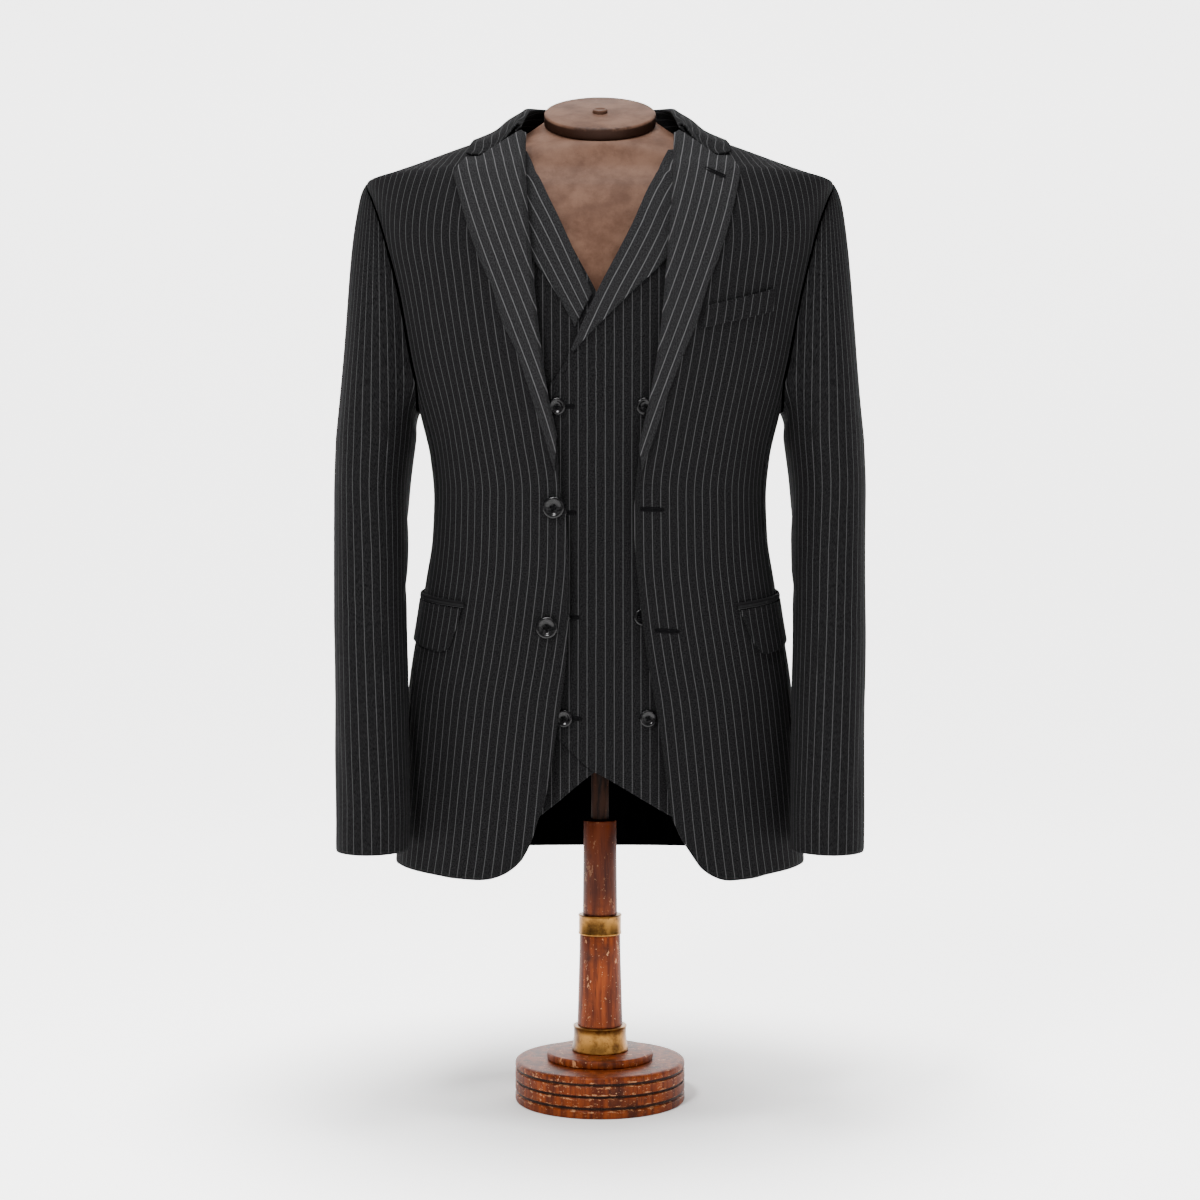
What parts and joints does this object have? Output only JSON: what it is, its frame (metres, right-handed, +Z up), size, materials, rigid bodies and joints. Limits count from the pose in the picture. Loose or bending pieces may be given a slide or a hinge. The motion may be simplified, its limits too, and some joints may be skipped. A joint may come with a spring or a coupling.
{
  "type": "three-piece suit jacket and waistcoat on a limbless dress form",
  "caption": "Open notch-lapel pinstripe suit jacket over a double-breasted waistcoat, on a limbless dress form with a turned wooden pedestal stand.",
  "frame": {"origin": "bottom centre of the round base, on the floor", "axes": "+Z up, -Y the front of the suit, +X the wearer's left"},
  "size_m": [0.5326, 0.2769, 1.0147],
  "materials": {
    "pinstripe_cloth": "matt worsted, charcoal black with thin grey stripes",
    "black_lining": "satin lining",
    "black_horn": "polished black",
    "brown_form_cover": "worn brown cover",
    "varnished_wood": "worn red-brown varnish",
    "aged_brass": "aged, dull",
    "dark_post": "dark brown paint"
  },
  "bodies": {
    "root": {"back_lining": "black_lining", "base": "varnished_wood", "breast_welt": "pinstripe_cloth", "collar": "pinstripe_cloth", "collar_lower": "aged_brass", "column_lower": "varnished_wood", "column_upper": "varnished_wood", "disc": "varnished_wood", "flap_left": "pinstripe_cloth", "flap_right": "pinstripe_cloth", "flap_welt_left": "pinstripe_cloth", "flap_welt_right": "pinstripe_cloth", "form_torso": "brown_form_cover", "jacket_back_left": "pinstripe_cloth", "jacket_back_right": "pinstripe_cloth", "jacket_button_1": "black_horn", "jacket_button_2": "black_horn", "jacket_front_left": "pinstripe_cloth", "jacket_front_right": "pinstripe_cloth", "jacket_side_left": "pinstripe_cloth", "jacket_side_right": "pinstripe_cloth", "lapel_left": "pinstripe_cloth", "lapel_right": "pinstripe_cloth", "neck_cap": "varnished_wood", "neck_plug": "varnished_wood", "post": "dark_post", "ring_upper": "aged_brass", "sleeve_top_left": "pinstripe_cloth", "sleeve_top_right": "pinstripe_cloth", "sleeve_under_left": "pinstripe_cloth", "sleeve_under_right": "pinstripe_cloth", "vest_back": "black_lining", "vest_button_1": "black_horn", "vest_button_2": "black_horn", "vest_button_3": "black_horn", "vest_button_4": "black_horn", "vest_button_5": "black_horn", "vest_button_6": "black_horn", "vest_button_7": "black_horn", "vest_button_8": "black_horn", "vest_front_left": "pinstripe_cloth", "vest_front_right": "pinstripe_cloth", "vest_lapel_left": "pinstripe_cloth", "vest_lapel_right": "pinstripe_cloth"}
  },
  "joints": []
}
